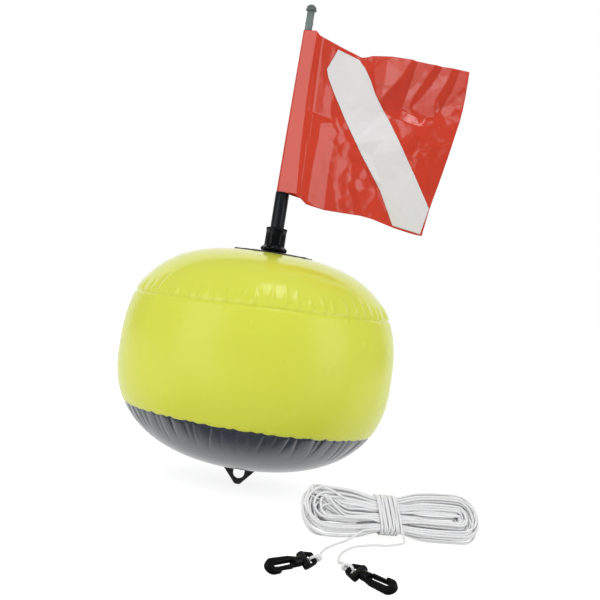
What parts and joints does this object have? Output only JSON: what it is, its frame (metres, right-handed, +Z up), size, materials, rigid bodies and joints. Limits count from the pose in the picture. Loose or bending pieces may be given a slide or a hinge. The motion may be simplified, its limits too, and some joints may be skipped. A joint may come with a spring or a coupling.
{
  "type": "dive flag float",
  "caption": "Inflatable ball float with a socketed mast, a turning flag, a tether tab below and a hanked line ending in two swivel snap hooks.",
  "frame": {"origin": "centre of the flat foot of the tether tab, on the mast axis", "axes": "+Z up along the mast axis, +X the way the flag flies, -Y toward the viewer and the laid-out line"},
  "size_m": [0.4533, 0.6292, 0.6128],
  "materials": {
    "yellow_pvc": "glossy flexible PVC sheet",
    "slate_pvc": "glossy flexible PVC sheet",
    "red_pvc": "glossy flexible PVC sheet, creased",
    "white_pvc": "satin PVC sheet, welded on",
    "black_sheet": "satin reinforcing sheet",
    "black_moulding": "glossy moulded plastic",
    "black_tube": "satin drawn tube",
    "grey_rod": "satin drawn tube",
    "yellow_moulding": "soft moulded PVC",
    "clear_moulding": "soft clear PVC",
    "white_line": "braided synthetic line"
  },
  "bodies": {
    "float": {"top_panel": "yellow_pvc", "side_band": "yellow_pvc", "bottom_panel": "slate_pvc", "socket_patch": "black_sheet", "tether_patch": "black_sheet", "tether_tab": "black_moulding", "mast_socket": "black_moulding", "valve_body": "yellow_moulding"},
    "mast": {"mast_lower": "black_tube", "mast_bush_upper": "black_moulding", "mast_bush_lower": "black_moulding", "mast_upper": "grey_rod", "mast_cap": "grey_rod"},
    "flag_sheet": {"flag": "red_pvc", "stripe_front": "white_pvc", "stripe_back": "white_pvc"},
    "plug": {"valve_plug": "yellow_moulding"},
    "flap": {"valve_flap": "clear_moulding"},
    "line": {"line_hank": "white_line", "line_wraps": "white_line", "line_lead_a": "white_line", "line_lead_b": "white_line", "knot_a": "white_line", "knot_b": "white_line", "hook_a_eye": "black_moulding", "hook_b_eye": "black_moulding"},
    "hook_a": {"hook_a_body": "black_moulding"},
    "tongue_a": {"hook_a_tongue": "black_moulding"},
    "hook_b": {"hook_b_body": "black_moulding"},
    "tongue_b": {"hook_b_tongue": "black_moulding"}
  },
  "joints": [
    {"name": "mast_pull", "type": "slide", "parent": "float", "child": "mast", "axis": [0, 0, 1], "range_m": [0, 0.03]},
    {"name": "flag_turn", "type": "hinge", "parent": "mast", "child": "flag_sheet", "pos_m": [0, 0, 0.3729], "axis": [0, 0, 1], "continuous": true},
    {"name": "valve_plug_open", "type": "hinge", "parent": "float", "child": "plug", "pos_m": [0, 0.11921, 0.28803], "axis": [1, 0, 0], "range_deg": [0, 150]},
    {"name": "valve_flap_open", "type": "hinge", "parent": "float", "child": "flap", "pos_m": [0, 0.1147, 0.26993], "axis": [-1, 0, 0], "range_deg": [0, 40], "stiffness_Nm_per_rad": 0.0005},
    {"name": "line_lift", "type": "slide", "parent": "float", "child": "line", "axis": [0, 0, 1], "range_m": [0, 0.15]},
    {"name": "hook_a_swivel", "type": "hinge", "parent": "line", "child": "hook_a", "pos_m": [0.0916, -0.4035, 0.0128], "axis": [-0.7598, -0.6398, -0.116], "continuous": true},
    {"name": "tongue_a_press", "type": "hinge", "parent": "hook_a", "child": "tongue_a", "pos_m": [0.07297, -0.42308, 0.00745], "axis": [-0.3118, 0.515, -0.7985], "range_deg": [0, 13], "stiffness_Nm_per_rad": 0.38},
    {"name": "hook_b_swivel", "type": "hinge", "parent": "line", "child": "hook_b", "pos_m": [0.1231, -0.416, 0.0113], "axis": [0.7112, -0.7012, -0.0501], "continuous": true},
    {"name": "tongue_b_press", "type": "hinge", "parent": "hook_b", "child": "tongue_b", "pos_m": [0.14471, -0.43307, 0.01208], "axis": [0.3783, 0.4418, -0.8135], "range_deg": [0, 13], "stiffness_Nm_per_rad": 0.38}
  ]
}
